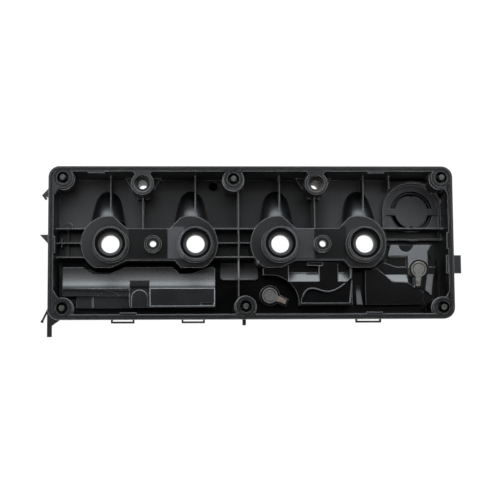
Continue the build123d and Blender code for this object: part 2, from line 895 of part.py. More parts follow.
    # Stepped injector bores
    with BuildSketch(Plane.XY.offset(tube_top + cut_overrun)):
        with Locations(injector_places):
            Circle(injector_seat_radius)
    extrude(amount=-seal_seat_height - cut_overrun, mode=Mode.SUBTRACT)
    with BuildSketch(Plane.XY.offset(tube_top)):
        with Locations(injector_places):
            Circle(injector_bore_radius)
        with Locations(clamp_places):
            Circle(clamp_bore_radius)
    extrude(amount=-tube_top, mode=Mode.SUBTRACT)
    with BuildSketch(Plane.XY.offset(tube_top)):
        with Locations(clamp_places):
            Circle(clamp_ring_radius)
    extrude(amount=clamp_seat_level - tube_top, mode=Mode.SUBTRACT)

    # Bolt wells from outside and bolt bores from the flange
    with BuildSketch():
        with Locations(bolt_places):
            Circle(bolt_well_radius)
    extrude(amount=bolt_seat_level, mode=Mode.SUBTRACT)
    with BuildSketch(Plane.XY.offset(flange_level)):
        with Locations(bolt_places):
            Circle(boss_bore_radius)
    extrude(amount=bolt_seat_level - flange_level, mode=Mode.SUBTRACT)

    # Guide boss recesses and bores
    with BuildSketch(Plane.XY.offset(flange_level)):
        with Locations(guide_places):
            Circle(guide_recess_radius)
    extrude(amount=-guide_recess_depth, mode=Mode.SUBTRACT)
    with BuildSketch(Plane.XY.offset(flange_level)):
        with Locations(guide_places):
            Circle(guide_sleeve_radius + seat_gap)
    extrude(amount=-cover_depth, mode=Mode.SUBTRACT)

    # Filler bore
    with BuildSketch(Plane.XY.offset(roof_inside + cut_overrun)):
        with Locations((filler_x, filler_y)):
            Circle(filler_bore_radius)
    extrude(amount=-roof_inside, mode=Mode.SUBTRACT)

    # Loops, tab and pin on the flange's edge
    with BuildSketch(Plane.XY.offset(flange_level - loop_height)):
        for x, length in loop_places:
            with Locations((x, -half_width)):
                Rectangle(length, 2 * loop_reach)
        for x, length in loop_places:
            with Locations((x, -half_width - loop_reach / 2 + loop_bar / 2)):
                Rectangle(length - 2 * loop_bar, loop_reach - loop_bar, mode=Mode.SUBTRACT)
    extrude(amount=loop_height / 2)
    with BuildSketch(Plane.XY.offset(flange_level - flange_thickness)):
        with Locations((half_length, tab_y)):
            Rectangle(2 * tab_reach, tab_width)
        with Locations((pin_x, -half_width)):
            Rectangle(pin_width, 2 * pin_reach)
    extrude(amount=tab_height)

    # Hook, fin and bracket at the ends of the left edge
    with BuildSketch(Plane.XY.offset(flange_level - flange_thickness)):
        with BuildLine():
            Polyline(
                (hook_root_x, hook_y + hook_rise),
                (hook_root_x - hook_reach, hook_y),
                (hook_root_x - hook_reach / 2, hook_y - hook_turn),
            )
        trace(line_width=hook_width)
        with BuildLine():
            Polyline(
                (hook_root_x, hook_y + hook_rise),
                (hook_root_x - hook_reach, hook_y),
                (hook_root_x, hook_y - hook_turn + hook_width / 2),
                close=True,
            )
        make_face()
        with BuildLine():
            Polyline(
                (-half_length, fin_y),
                (-half_length - fin_reach, fin_y),
                (-half_length, fin_y - fin_length),
                close=True,
            )
        make_face()
        with Locations((bracket_x, -half_width - bracket_reach)):
            Rectangle(bracket_width, bracket_reach + cover_corner_radius, align=(Align.CENTER, Align.MIN))
        with BuildLine():
            Polyline(
                (bracket_x, -half_width - bracket_web_reach),
                (bracket_edge_x, -half_width - bracket_web_reach),
                (bracket_edge_x + bracket_web_length, -half_width + cut_overrun),
                (bracket_x, -half_width + bracket_web_reach),
                close=True,
            )
        make_face()
        with BuildLine():
            Polyline((hook_root_x, -bolt_y), (bracket_finger_x, bracket_finger_y))
        trace(line_width=bracket_finger_width)
        with Locations((bracket_finger_x, bracket_finger_y)):
            Circle(bracket_ball_radius)
    extrude(amount=hook_height)

    # Gasket groove
    with BuildSketch(Plane.XY.offset(flange_level)):
        add(groove_outline)
    extrude(amount=-gasket_depth, mode=Mode.SUBTRACT)
finish(cover_shell, "cover_shell")


# Gasket, standing a little proud of the flange
with BuildPart() as perimeter_gasket:
    with BuildSketch(Plane.XY.offset(flange_level - gasket_depth)):
        add(gasket_outline(gasket_width))
    extrude(amount=gasket_depth + gasket_proud)
finish(perimeter_gasket, "perimeter_gasket")


# Ring with a lip, used for the injector seals
for number, place in enumerate(injector_places, 1):
    with BuildPart() as injector_seal:
        with BuildSketch(Plane.XY.offset(tube_top - seal_seat_height)):
            with Locations(place):
                Circle(injector_seat_radius - seat_gap)
                Circle(seal_lip_radius, mode=Mode.SUBTRACT)
        extrude(amount=seal_height)
    finish(injector_seal, f"injector_seal_{number}")

for number, place in enumerate(clamp_places, 1):
    with BuildPart() as clamp_seal:
        with BuildSketch(Plane.XY.offset(clamp_seat_level)):
            with Locations(place):
                Circle(clamp_ring_radius - seat_gap)
                Circle(clamp_bore_radius + seat_gap, mode=Mode.SUBTRACT)
        extrude(amount=clamp_seal_height)
    finish(clamp_seal, f"clamp_bolt_seal_{number}")

# Guide sleeves pressed in the open bosses
for number, place in enumerate(guide_places, 1):
    with BuildPart() as guide_sleeve:
        with BuildSketch(Plane.XY.offset(flange_level - guide_recess_depth)):
            with Locations(place):
                Circle(guide_sleeve_radius)
                Circle(guide_bore_radius, mode=Mode.SUBTRACT)
        extrude(amount=guide_recess_depth - cover_depth)
    finish(guide_sleeve, f"guide_sleeve_{number}")

# Holding bolt with its limiting sleeve and rubber grommet, seated in the well behind each boss
sleeve_bore = bolt_shank_radius + sleeve_play
sleeve_radius = sleeve_bore + sleeve_wall
sleeve_top = flange_level - sleeve_recess
for number, place in enumerate(bolt_places, 1):
    with BuildPart() as captive_bolt:
        with BuildSketch(Plane.XY.offset(flange_level + bolt_tip_length)):
            with Locations(place):
                Circle(bolt_shank_radius)
        extrude(amount=sleeve_top + bolt_thread_clear - flange_level - bolt_tip_length)
        chamfer(captive_bolt.faces().sort_by(Axis.Z)[-1].edges(), bolt_tip_chamfer)
        with BuildSketch(Plane.XY.offset(sleeve_top + bolt_thread_clear)):
            with Locations(place):
                Circle(bolt_waist_radius)
        extrude(amount=bolt_seat_level - grommet_lip_height - sleeve_top - bolt_thread_clear)
        with BuildSketch(Plane.XY.offset(bolt_seat_level - grommet_lip_height)):
            with Locations(place):
                Circle(bolt_flange_radius)
        extrude(amount=-bolt_flange_height)
        with BuildSketch(Plane.XY.offset(bolt_seat_level - grommet_lip_height - bolt_flange_height)):
            with Locations(place):
                RegularPolygon(bolt_head_radius, bolt_head_sides)
        extrude(amount=-bolt_head_height)
    finish(captive_bolt, f"captive_bolt_{number}")

    with BuildPart() as bolt_sleeve:
        with BuildSketch(Plane.XY.offset(sleeve_top)):
            with Locations(place):
                Circle(sleeve_radius)
                Circle(sleeve_bore, mode=Mode.SUBTRACT)
        extrude(amount=bolt_seat_level - grommet_lip_height - sleeve_top)
    finish(bolt_sleeve, f"bolt_sleeve_{number}")

    with BuildPart() as bolt_grommet:
        with BuildSketch(Plane.XY.offset(sleeve_top)):
            with Locations(place):
                Circle(boss_bore_radius - seat_gap)
        extrude(amount=bolt_seat_level - sleeve_top)
        with BuildSketch(Plane.XY.offset(bolt_seat_level)):
            with Locations(place):
                Circle(bolt_flange_radius)
        extrude(amount=-grommet_lip_height)
        with BuildSketch(Plane.XY.offset(sleeve_top)):
            with Locations(place):
                Circle(sleeve_radius + seat_gap / 2)
        extrude(amount=bolt_seat_level - grommet_lip_height - sleeve_top, mode=Mode.SUBTRACT)
    finish(bolt_grommet, f"bolt_grommet_{number}")


# Left oil separator plate: a trough along the engine in three lengths, over a small box
left_lengths = [
    (separator_left_x, separator_step_x, separator_band_y, separator_edge_y, 0),
    (separator_step_x, separator_split_x, separator_low_y, separator_low_y, separator_middle_drop),
    (separator_split_x, separator_right_x, separator_low_y, separator_low_y, 0),
]
left_bodies = [
    (x, end - x, trough_section(x, low, edge, drop, 0)) for x, end, low, edge, drop in left_lengths
]
left_hollows = [
    (x, end - x - 2 * plate_wall, trough_section(x + plate_wall, low, edge, drop, plate_wall))
    for x, end, low, edge, drop in left_lengths
]
small_box_x = (small_box_left_x + small_box_right_x) / 2
small_box_y = (separator_band_y + plate_wall + separator_low_y) / 2
small_box_length = small_box_right_x - small_box_left_x
small_box_width = separator_band_y + plate_wall - separator_low_y
small_box_level = separator_level - separator_band_drop - small_box_drop
middle_level = separator_level - separator_middle_drop
middle_arch_x = (separator_step_x + separator_split_x) / 2
middle_arch_place = (middle_arch_x, separator_top_y - separator_width * middle_arch_share)
scoop_points = [
    (centre[0] + x, separator_top_y + cut_overrun - (scoop_depth + cut_overrun) * deep)
    for centre, row in zip(well_centres, scoop_outlines)
    for x, deep in zip(row, (0, 1, 1, 0))
]
with BuildPart() as left_separator_plate:
    for x, length, section in left_bodies:
        extrude(to_extrude=section, amount=length)
    with BuildSketch(Plane.XY.offset(small_box_level)):
        with Locations((small_box_x, small_box_y)):
            Rectangle(small_box_length, small_box_width)
    extrude(amount=separator_foot - small_box_level)
    box_corners = left_separator_plate.edges().filter_by(Axis.Z).group_by(Axis.Y)[0].sort_by(Axis.X)
    fillet(box_corners[1:2], small_box_width / 4)
    # Arch sunk in the ledge, arch raised on the middle length, and a slot
    with BuildSketch(Plane.XY.offset(separator_level - separator_band_drop)):
        with Locations((ledge_arch_x, separator_band_y + ledge_arch_rise - ledge_arch_radius)):
            Circle(ledge_arch_radius)
    extrude(amount=-ledge_arch_sink, mode=Mode.SUBTRACT)
    with BuildSketch(Plane.XY.offset(middle_level)):
        with Locations(middle_arch_place):
            Circle(middle_arch_radius)
        with Locations((middle_arch_place[0], (middle_arch_place[1] + separator_low_y) / 2)):
            Rectangle(2 * middle_arch_radius, middle_arch_place[1] - separator_low_y)
    extrude(amount=middle_arch_rise)
    for x, length, section in left_hollows:
        extrude(to_extrude=section, amount=length, mode=Mode.SUBTRACT)
    with BuildSketch(Plane.XY.offset(small_box_level - plate_wall)):
        with Locations((small_box_x, small_box_y)):
            Rectangle(small_box_length - 2 * plate_wall - small_box_slope, small_box_width - 2 * plate_wall)
    extrude(amount=separator_foot - small_box_level, mode=Mode.SUBTRACT)
    slot_x = separator_right_x - plate_slot_inset - plate_slot_length / 2
    with BuildSketch(Plane.XY.offset(separator_level)):
        with Locations((slot_x, separator_low_y + plate_slot_inset + plate_slot_width / 2)):
            Rectangle(plate_slot_length, plate_slot_width)
    extrude(amount=-plate_slot_sink, mode=Mode.SUBTRACT)
    # Rib on the small box
    with BuildSketch(Plane.XY.offset(small_box_level)):
        with Locations((small_box_rib_x, small_box_y)):
            Rectangle(rib_thickness, small_box_width)
    extrude(amount=small_box_rib_height)
    # Scoops that clear the wells, and the cut corner
    with BuildSketch(Plane.XY.offset(separator_level + cut_overrun)):
        for corners in (scoop_points[:4], scoop_points[4:]):
            with BuildLine():
                Polyline(*corners, close=True)
            make_face()
        with Locations((separator_right_x, separator_top_y)):
            Rectangle(separator_corner, separator_corner, rotation=separator_corner_angle)
    extrude(amount=-separator_skirt - 2 * cut_overrun, mode=Mode.SUBTRACT)
    with BuildSketch(Plane.XY.offset(well_floor)):
        add(well_clear_outlines[0])
    extrude(amount=roof_inside - well_floor, taper=-well_draft, mode=Mode.SUBTRACT)
finish(left_separator_plate, "left_separator_plate")

# Right oil separator plate with two sloping pockets and a wavy wall
plate_length = right_plate_right_x - right_plate_left_x
plate_width = right_plate_top_y - right_plate_low_y


def right_outline(margin):
    with BuildSketch() as outline:
        with Locations((right_plate_left_x + plate_length / 2, right_plate_low_y + plate_width / 2)):
            Rectangle(plate_length - 2 * margin, plate_width - 2 * margin)
        with Locations((right_plate_arc_x, right_plate_notch_y - right_plate_arc_radius)):
            Circle(right_plate_arc_radius + margin, mode=Mode.SUBTRACT)
        with Locations((right_plate_left_x, right_plate_low_y)):
            Rectangle(
                2 * (right_plate_arc_x - right_plate_left_x + margin),
                2 * (right_plate_notch_y - right_plate_low_y + margin),
                mode=Mode.SUBTRACT,
            )
    return outline.sketch


right_body = right_outline(0)
right_hollow = right_outline(plate_wall)
wave_points = [
    (right_plate_left_x + plate_length * x, right_plate_top_y - plate_width * y) for x, y in wave_shares
]
with BuildPart() as right_separator_plate:
    with BuildSketch(Plane.XY.offset(separator_foot)):
        add(right_body)
    extrude(amount=right_plate_level - separator_foot)
    # The lower tier beyond the wave
    with BuildSketch(Plane.XY.offset(right_plate_level + cut_overrun)):
        with BuildLine():
            Spline(*wave_points)
            Polyline(
                wave_points[-1],
                (right_plate_right_x - plate_wall, right_plate_low_y + plate_wall),
                (wave_points[0][0], right_plate_low_y + plate_wall),
                wave_points[0],
            )
        make_face()
    extrude(amount=-right_plate_step - cut_overrun, mode=Mode.SUBTRACT)
    # Pockets whose far ends slope up
    for start, end in (pocket_one, pocket_two):
        with BuildSketch(Plane.YZ.offset(start)):
            with BuildLine():
                Polyline(
                    (right_plate_top_y + cut_overrun, right_plate_level + cut_overrun),
                    (right_plate_top_y + cut_overrun, right_plate_level - pocket_sink),
                    (pocket_slope_y, right_plate_level - pocket_sink),
                    (pocket_low_y, right_plate_level),
                    (pocket_low_y, right_plate_level + cut_overrun),
                    close=True,
                )
            make_face()
        extrude(amount=end - start, mode=Mode.SUBTRACT)
    # Tab that stands up against the well
    with BuildSketch(Plane.XY.offset(right_plate_level)):
        with Locations(((plate_tab_left_x + plate_tab_right_x) / 2, right_plate_top_y)):
            Rectangle(
                plate_tab_right_x - plate_tab_left_x, plate_tab_width, align=(Align.CENTER, Align.MAX)
            )
    extrude(amount=plate_tab_rise)
    with BuildSketch(Plane.XY.offset(right_plate_level)):
        with Locations(((plate_tab_left_x + pocket_one[1]) / 2, right_plate_top_y)):
            Rectangle(pocket_one[1] - plate_tab_left_x, plate_wall, align=(Align.CENTER, Align.MAX))
    extrude(amount=-pocket_sink)
    # Hollow behind
    with BuildSketch(Plane.XY.offset(separator_foot)):
        add(right_hollow)
    extrude(amount=right_plate_level - right_plate_step - plate_wall - separator_foot, mode=Mode.SUBTRACT)
    with BuildSketch(Plane.XY.offset(well_floor)):
        add(well_clear_outlines[1])
    extrude(amount=roof_inside - well_floor, taper=-well_draft, mode=Mode.SUBTRACT)
finish(right_separator_plate, "right_separator_plate")

# Breather chamber plate with a raised tee, a raised cover and the second valve's collar
breather_box = (breather_left_x, breather_right_x, breather_low_y, breather_top_y)
breather_height = breather_top_y - breather_low_y
breather_base = share_outline(*breather_box, breather_outline_shares)
breather_cover = share_outline(*breather_box, breather_cover_shares)
cover_level = breather_level + breather_cover_rise


def breather_y(share):
    return breather_low_y + breather_height * share


tee_notch_x = breather_left_x + (breather_right_x - breather_left_x) * tee_notch_share
tee_block = sloped_block(
    share_outline(*breather_box, tee_shares),
    roof_inside,
    breather_top_y,
    breather_level + tee_rise - tee_fall,
    breather_y(tee_shares[3][1]),
    breather_level + tee_rise,
)
crescent_block = sloped_block(
    share_outline(*breather_box, crescent_shares),
    roof_inside,
    breather_y(crescent_shares[3][1]),
    breather_level,
    breather_y(crescent_shares[4][1]),
    cover_level,
)
strip_block = sloped_block(
    share_outline(*breather_box, strip_shares),
    roof_inside,
    breather_y(strip_shares[0][1]),
    breather_level,
    breather_y(strip_shares[2][1]),
    breather_level + strip_rise,
)
with BuildPart() as breather_chamber_plate:
    with BuildSketch(Plane.XY.offset(roof_inside)):
        add(breather_base)
    extrude(amount=breather_level - roof_inside)
    with BuildSketch(Plane.XY.offset(breather_level)):
        add(breather_cover)
    extrude(amount=breather_cover_rise)
    add(crescent_block)
    add(strip_block)
    add(tee_block)
    with BuildSketch(Plane.XY.offset(breather_level)):
        add(valve_collars[1])
    extrude(amount=tee_rise)
    # Notch in the tee, the two recesses beside it and the drain port
    with BuildSketch(Plane.XY.offset(breather_level + tee_rise)):
        with Locations((tee_notch_x, breather_top_y)):
            Circle(tee_notch_radius)
        with Locations(valve_places[1]):
            Circle(valve_port_radius)
    extrude(amount=-tee_rise, mode=Mode.SUBTRACT)
    with BuildSketch(Plane.XY.offset(breather_level)):
        add(share_outline(*breather_box, quad_shares))
        add(share_outline(*breather_box, triangle_shares))
    extrude(amount=-plate_recess_depth, mode=Mode.SUBTRACT)
    with BuildSketch(Plane.XY.offset(roof_inside)):
        with Locations(bolt_places[5]):
            Circle(boss_foot_radius + plate_gap)
    extrude(amount=cover_depth, mode=Mode.SUBTRACT)
    with BuildSketch(Plane.XY.offset(well_floor)):
        add(well_clear_outlines[1])
    extrude(amount=roof_inside - well_floor, taper=-well_draft, mode=Mode.SUBTRACT)
finish(breather_chamber_plate, "breather_chamber_plate")

# Drain valves: a sprung leaf with a slot round its disc, held by a rivet in its tail
valve_levels = [valve_level, breather_level + tee_rise]
leaves = [
    valve_outline(place, angle, valve_disc_radius, 0) for place, angle in zip(valve_places, valve_tail_angles)
]
for number in (0, 1):
    level, angle = valve_levels[number], valve_tail_angles[number]
    tail = Vector(valve_tail_length * valve_rivet_share, 0, 0).rotate(Axis.Z, angle)
    rivet_place = (valve_places[number][0] + tail.X, valve_places[number][1] + tail.Y)
    with BuildPart() as drain_valve:
        with BuildSketch(Plane.XY.offset(level)):
            add(leaves[number])
            with Locations(Location((*valve_places[number], 0), angle)):
                SlotArc(
                    CenterArc((0, 0), valve_slot_radius, valve_slot_open / 2, 360 - valve_slot_open),
                    valve_slot_width,
                    mode=Mode.SUBTRACT,
                )
            with Locations(rivet_place):
                Circle(valve_rivet_radius, mode=Mode.SUBTRACT)
        extrude(amount=valve_disc_thickness)
    finish(drain_valve, f"drain_valve_{number + 1}")
    with BuildPart() as valve_rivet:
        with BuildSketch(Plane.XY.offset(level)):
            with Locations(rivet_place):
                Circle(valve_rivet_radius)
        extrude(amount=valve_disc_thickness)
        with BuildSketch(Plane.XY.offset(level + valve_disc_thickness)):
            with Locations(rivet_place):
                Circle(valve_rivet_radius + valve_rivet_height / 2)
        extrude(amount=valve_rivet_height)
    finish(valve_rivet, f"valve_rivet_{number + 1}")

# Splash baffle under the filler: a disc on two arms
with BuildPart() as filler_baffle:
    with BuildSketch(Plane.XY.offset(roof_inside)):
        with Locations((filler_x, filler_y)):
            Circle(filler_disc_radius)
            Rectangle(2 * filler_terrace_radius, filler_arm_width)
            Circle(filler_terrace_radius - seat_gap, mode=Mode.INTERSECT)
        with Locations((filler_x, filler_y + filler_disc_radius), (filler_x, filler_y - filler_disc_radius)):
            Rectangle(2 * filler_notch, 2 * filler_notch, mode=Mode.SUBTRACT)
    extrude(amount=filler_disc_thickness)
finish(filler_baffle, "filler_baffle")

# Oil filler cap outside, with its plug in the neck, and its seal
neck_end = roof_outside - filler_neck_length
with BuildPart() as oil_filler_cap:
    with BuildSketch():
        with Locations((filler_x, filler_y)):
            Circle(cap_radius)
            with PolarLocations(cap_radius, cap_grip_count):
                Circle(cap_grip_radius, mode=Mode.SUBTRACT)
    extrude(amount=cap_top_thickness)
    with BuildSketch(Plane.XY.offset(cap_top_thickness)):
        with Locations((filler_x, filler_y)):
            Circle(cap_plug_radius)
            Circle(cap_plug_radius - cap_plug_wall, mode=Mode.SUBTRACT)
    extrude(amount=cap_plug_height)
finish(oil_filler_cap, "oil_filler_cap")

with BuildPart() as oil_cap_seal:
    with BuildSketch(Plane.XY.offset(cap_top_thickness)):
        with Locations((filler_x, filler_y)):
            Circle(cap_plug_radius + seat_gap + cap_seal_width)
            Circle(cap_plug_radius + seat_gap, mode=Mode.SUBTRACT)
    extrude(amount=neck_end - cap_top_thickness - cap_gap)
finish(oil_cap_seal, "oil_cap_seal")
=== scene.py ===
import math

import bpy
from mathutils import Matrix, Vector


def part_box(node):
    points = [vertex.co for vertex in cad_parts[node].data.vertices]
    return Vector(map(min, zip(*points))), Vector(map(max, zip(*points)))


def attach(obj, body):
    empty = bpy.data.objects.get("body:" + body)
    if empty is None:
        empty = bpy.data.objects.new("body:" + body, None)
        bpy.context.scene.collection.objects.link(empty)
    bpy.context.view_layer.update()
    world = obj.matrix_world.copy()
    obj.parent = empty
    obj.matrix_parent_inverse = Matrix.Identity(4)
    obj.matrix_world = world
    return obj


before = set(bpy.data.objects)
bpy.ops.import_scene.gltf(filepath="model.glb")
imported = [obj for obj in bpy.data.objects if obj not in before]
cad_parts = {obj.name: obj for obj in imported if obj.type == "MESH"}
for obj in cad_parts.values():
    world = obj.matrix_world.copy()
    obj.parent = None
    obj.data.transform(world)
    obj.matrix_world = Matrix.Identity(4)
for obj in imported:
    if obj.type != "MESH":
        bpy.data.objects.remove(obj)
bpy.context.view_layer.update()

print("frame loaded,", len(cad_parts), "nodes")

scene = bpy.context.scene
scene.view_settings.view_transform = "Standard"

# Angles in degrees, the sensor in millimetres, all else in metres or pixels
photoCamera = {
    "focalPixels": 1470.0,
    "imagePixels": 500,
    "sensor": 36.0,
    "distance": 1.510,
    "target": (-0.0017, 0.00065, 0.060),
    "tilt": -6.4,
    "side": -2.5,
    "roll": 0.37,
    "nearest": 0.05,
    "farthest": 30.0,
}


def placeCamera(values):
    side, tilt, turn = (math.radians(values[key]) for key in ("side", "tilt", "roll"))
    back = Vector((math.tan(side), math.tan(tilt), 1)).normalized()
    right = (-back).cross(Vector((0, 1, 0))).normalized()
    up = right.cross(-back)
    turnedRight = math.cos(turn) * right - math.sin(turn) * up
    turnedUp = math.sin(turn) * right + math.cos(turn) * up
    data = bpy.data.cameras.new("photoCamera")
    data.sensor_width = values["sensor"]
    data.lens = values["focalPixels"] / values["imagePixels"] * values["sensor"]
    data.clip_start = values["nearest"]
    data.clip_end = values["farthest"]
    camera = bpy.data.objects.new("photoCamera", data)
    scene.collection.objects.link(camera)
    axes = Matrix((turnedRight, turnedUp, back)).transposed().to_4x4()
    camera.matrix_world = Matrix.Translation(Vector(values["target"]) + values["distance"] * back) @ axes
    scene.camera = camera


placeCamera(photoCamera)
print("camera placed")


class Wire:
    # a socket's value in an expression
    def __init__(self, maker, socket):
        self.maker = maker
        self.socket = socket

    def maths(self, operation, first, second):
        return self.maker.node("ShaderNodeMath", {"operation": operation}, {0: first, 1: second})

    def __add__(self, other):
        return self.maths("ADD", self, other)

    def __radd__(self, other):
        return self.maths("ADD", other, self)

    def __sub__(self, other):
        return self.maths("SUBTRACT", self, other)

    def __rsub__(self, other):
        return self.maths("SUBTRACT", other, self)

    def __mul__(self, other):
        return self.maths("MULTIPLY", self, other)

    def __rmul__(self, other):
        return self.maths("MULTIPLY", other, self)

    def clamp(self):
        return self.maker.node("ShaderNodeClamp", {}, {"Value": self})

    def rise(self, low, high):
        # smooth step from low to high
        settings = {"interpolation_type": "SMOOTHSTEP"}
        inputs = {"Value": self, "From Min": low, "From Max": high}
        return self.maker.node("ShaderNodeMapRange", settings, inputs)

    def between(self, low, high, soft):
        # 1 from low to high, 0 outside
        return self.rise(low - soft, low + soft) * (1 - self.rise(high - soft, high + soft))


class NodeMaker:
    # adds nodes to one tree
    def __init__(self, tree):
        self.tree = tree

    def node(self, kind, settings, inputs, output=0):
        made = self.tree.nodes.new(kind)
        for key, value in settings.items():
            setattr(made, key, value)
        for key, value in inputs.items():
            self.put(made.inputs[key], value)
        return Wire(self, made.outputs[output])

    def put(self, socket, value):
        if isinstance(value, Wire):
            self.tree.links.new(value.socket, socket)
        elif socket.type == "RGBA":
            socket.default_value = (*value, 1)
        else:
            socket.default_value = value


# How the mask along edges is read from their rounded normals
edgeMask = {"samples": 6, "from": 0.02, "to": 0.24}


class Finish(NodeMaker):
    # one material, with short ways to its nodes
    def __init__(self, name):
        self.material = bpy.data.materials.new(name)
        self.material.use_nodes = True
        super().__init__(self.material.node_tree)
        self.surface = self.tree.nodes["Principled BSDF"]

    def mix(self, factor, first, second):
        return self.node("ShaderNodeMix", {"data_type": "RGBA"}, {0: factor, 6: first, 7: second}, 2)

    def noise(self, grain, where=None):
        # a grain is a scale, a detail and a roughness
        scale, detail, roughness = grain
        inputs = {"Scale": scale, "Detail": detail, "Roughness": roughness, "Vector": where or self.place()}
        return self.node("ShaderNodeTexNoise", {}, inputs)

    def place(self):
        return self.node("ShaderNodeTexCoord", {}, {}, "Object")

    def stretched(self, scales):
        return self.node("ShaderNodeVectorMath", {"operation": "MULTIPLY"}, {0: self.place(), 1: scales})

    def distance(self, place, point):
        return self.node("ShaderNodeVectorMath", {"operation": "DISTANCE"}, {0: place, 1: point}, "Value")

    def near(self, point, radius, soft):
        # 1 inside a ball, 0 outside
        return 1 - self.distance(self.place(), point).rise(radius - soft, radius + soft)

    def ring(self, point, inner, outer, soft):
        # 1 between two radii round an upright axis, and a disc where the inner one is below 0
        away = self.distance(self.stretched((1.0, 1.0, 0.0)), (point[0], point[1], 0.0))
        return away.between(inner, outer, soft)

    def along(self, axis):
        # one coordinate of the point that is shaded
        return self.node("ShaderNodeSeparateXYZ", {}, {0: self.place()}, axis)

    def inside(self, low, high, soft):
        # 1 between two corners in X and Y
        return self.along("X").between(low[0], high[0], soft) * self.along("Y").between(low[1], high[1], soft)

    def rounded(self, radius):
        return self.node("ShaderNodeBevel", {"samples": edgeMask["samples"]}, {"Radius": radius})

    def trueNormal(self):
        return self.node("ShaderNodeNewGeometry", {}, {}, "True Normal")

    def edges(self, radius):
        # 1 along an edge, 0 away from it
        ends = {0: self.rounded(radius), 1: self.trueNormal()}
        alike = self.node("ShaderNodeVectorMath", {"operation": "DOT_PRODUCT"}, ends, "Value")
        return (1 - alike).rise(edgeMask["from"], edgeMask["to"])

    def bump(self, height, strength, distance, normal):
        inputs = {"Height": height, "Strength": strength, "Distance": distance, "Normal": normal}
        return self.node("ShaderNodeBump", {}, inputs)

    def coat(self, **values):
        names = {
            "colour": "Base Color",
            "roughness": "Roughness",
            "metallic": "Metallic",
            "normal": "Normal",
            "ior": "IOR",
            "level": "Specular IOR Level",
        }
        for key, value in values.items():
            self.put(self.surface.inputs[names[key]], value)
        return self.material


mouldedBlack = {
    "colour": (0.0022, 0.0023, 0.0025),
    "dust": (0.0052, 0.0052, 0.0056),
    "edgeHighlightColour": (0.210, 0.213, 0.219),
    "roughLow": 0.27,
    "roughHigh": 0.34,
    "edge": 0.0012,
    "bend": 1.49,
    "flatPaintedShade": 0.0,
    "grain": (1400, 2, 0.6),
    "grainDepth": 0.00005,
}

# The shell's edges get the pale painted highlight only above the roof's inside
shellMoulding = {**mouldedBlack, "edgeHighlightFrom": 0.0178, "edgeHighlightTo": 0.0194}

weldedPlate = {
    "colour": (0.0024, 0.0025, 0.0028),
    "dust": (0.0048, 0.0049, 0.0052),
    "edgeHighlightColour": (0.320, 0.325, 0.335),
    "roughLow": 0.25,
    "roughHigh": 0.33,
    "edge": 0.0012,
    "bend": 1.54,
    "flatPaintedShade": 0.0,
    "grain": (1700, 2, 0.6),
    "grainDepth": 0.000014,
}

# A darker copy of the welded plate for the right plates, with dull flat tops: painted shade
paintedShadePlate = {
    **weldedPlate,
    "colour": (0.0010, 0.0010, 0.0012),
    "dust": (0.0024, 0.0024, 0.0027),
    "roughLow": 0.19,
    "roughHigh": 0.25,
    "bend": 1.60,
    "flatPaintedShade": 0.62,
}

baffleBlack = {
    **mouldedBlack,
    "colour": (0.020, 0.020, 0.0215),
    "dust": (0.028, 0.028, 0.030),
    "roughLow": 0.42,
    "roughHigh": 0.46,
}

# The film on all the black plastic, from three noises, and what else its finishes share
plasticFilm = {
    "cloud": (22, 4, 0.55),
    "cloudShare": 0.55,
    "flow": (9, 3, 0.6),
    "flowStretch": (1.0, 3.5, 1.0),
    "flowShare": 0.37,
    "streak": (220, 3, 0.6),
    "streakStretch": (4.0, 0.35, 1.0),
    "streakShare": 0.08,
    "filmFrom": 0.36,
    "filmTo": 0.66,
    "flatFrom": 0.975,
    "flatTo": 0.995,
    "grainStrength": 0.35,
    "edgeHighlightLeast": 0.45,
    "edgeHighlightCloud": 0.55,
    "ringSoft": 0.0002,
    "ceilingSoft": 0.0005,
}

# Duller or paler parts of the plastic, mostly painted shade and painted light, each a box or a ring in X and
# Y, some only below a ceiling
paintedLightRoof = {"soft": 0.010, "ceiling": 0.0186, "rougher": 0.04, "colour": (0.034, 0.034, 0.037)}
paintedShade = {"soft": 0.001, "rougher": 0.0, "colour": (0.0007, 0.0007, 0.0008)}
paintedShadeBand = {"soft": 0.0008, "rougher": -0.02, "colour": (0.0010, 0.0010, 0.0011), "dull": 0.40}
paintedLightBand = {"rougher": 0.08, "colour": (0.030, 0.031, 0.034), "soft": 0.0006}
mouldMark = {"inner": 0.0036, "outer": 0.0042, "rougher": -0.08, "colour": (0.001, 0.001, 0.001)}
ledge = {"inner": -0.01, "outer": 0.01272, "rougher": 0.10, "colour": (0.034, 0.034, 0.035)}
injectorCount = 4

